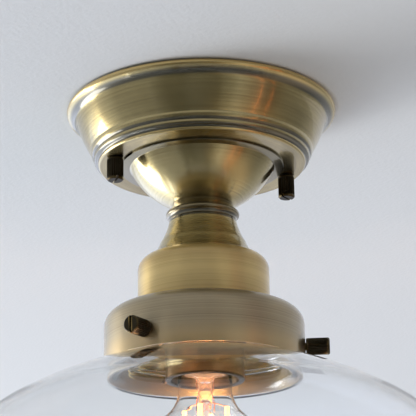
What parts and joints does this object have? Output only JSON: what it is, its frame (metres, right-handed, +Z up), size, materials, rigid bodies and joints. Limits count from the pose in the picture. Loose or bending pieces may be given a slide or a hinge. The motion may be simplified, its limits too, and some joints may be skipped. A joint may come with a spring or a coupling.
{
  "type": "semi flush ceiling light",
  "caption": "Semi flush ceiling light: spun antique brass ceiling pan, dome, neck and stepped cups holding a clear glass bell shade over a screw-cap bulb.",
  "frame": {"origin": "centre of the mounting strap's top face, in the plane of the ceiling", "axes": "+Z up into the ceiling, the light hangs towards -Z; +X through the two rose nuts"},
  "size_m": [0.3, 0.3, 0.252],
  "materials": {
    "antique_brass": "antique brass, brushed round the axis and lacquered",
    "dark_bronze": "dark bronzed brass, knurled",
    "zinc_steel": "zinc plated steel",
    "plain_brass": "plain brass",
    "moulding": "pale moulded plastic",
    "brown_insulation": "brown wire insulation",
    "blue_insulation": "blue wire insulation",
    "green_insulation": "green and yellow wire insulation",
    "shade_glass": "clear blown glass, 3 mm",
    "bulb_glass": "clear thin glass",
    "cap_metal": "nickel plated cap",
    "cap_insulator": "black glass insulator",
    "filament": "amber coated filament rods"
  },
  "bodies": {
    "fixture": {"mounting_strap": "zinc_steel", "strap_studs": "zinc_steel", "stud_lock_nuts": "zinc_steel", "earth_screw": "zinc_steel", "terminal_block": "moulding", "terminal_screws": "plain_brass", "terminal_block_screws": "zinc_steel", "ceiling_pan": "antique_brass", "dome_cover": "antique_brass", "neck_collar": "antique_brass", "neck_bell": "antique_brass", "lampholder_cup": "antique_brass", "stem_tube": "plain_brass", "stem_washer": "zinc_steel", "stem_top_nut": "zinc_steel", "stem_lower_nut": "zinc_steel", "holder_cap": "plain_brass", "holder_insulator": "moulding", "holder_sleeve": "plain_brass", "shade_ring": "plain_brass", "screw_shell": "plain_brass", "centre_contact": "plain_brass", "contact_screws": "plain_brass", "lead_live": "brown_insulation", "lead_neutral": "blue_insulation", "lead_earth": "green_insulation", "shade_gallery": "antique_brass", "glass_shade": "shade_glass"},
    "bulb": {"bulb_cap": "cap_metal", "bulb_cap_insulator": "cap_insulator", "bulb_tip_contact": "cap_metal", "bulb_glass": "bulb_glass", "bulb_stem": "bulb_glass", "bulb_filaments": "filament", "bulb_lead_wires": "cap_metal"},
    "rose_nut_left": {"rose_nut_left": "dark_bronze"},
    "rose_nut_right": {"rose_nut_right": "dark_bronze"},
    "shade_screw_left": {"shade_screw_left": "dark_bronze"},
    "shade_screw_right": {"shade_screw_right": "dark_bronze"},
    "shade_screw_back": {"shade_screw_back": "dark_bronze"}
  },
  "joints": [
    {"name": "rose_nut_left_turn", "type": "hinge", "parent": "fixture", "child": "rose_nut_left", "pos_m": [-0.0468, 0, -0.037], "axis": [0, 0, 1], "continuous": true},
    {"name": "rose_nut_right_turn", "type": "hinge", "parent": "fixture", "child": "rose_nut_right", "pos_m": [0.0468, 0, -0.037], "axis": [0, 0, 1], "continuous": true},
    {"name": "bulb_turn", "type": "hinge", "parent": "fixture", "child": "bulb", "pos_m": [0, 0, -0.12], "axis": [0, 0, 1], "continuous": true},
    {"name": "shade_screw_left_slide", "type": "slide", "parent": "fixture", "child": "shade_screw_left", "axis": [-0.7986, -0.6018, 0], "range_m": [0, 0.0035]},
    {"name": "shade_screw_right_slide", "type": "slide", "parent": "fixture", "child": "shade_screw_right", "axis": [0.9205, -0.3907, 0], "range_m": [0, 0.0035]},
    {"name": "shade_screw_back_slide", "type": "slide", "parent": "fixture", "child": "shade_screw_back", "axis": [-0.1219, 0.9925, 0], "range_m": [0, 0.0035]}
  ]
}
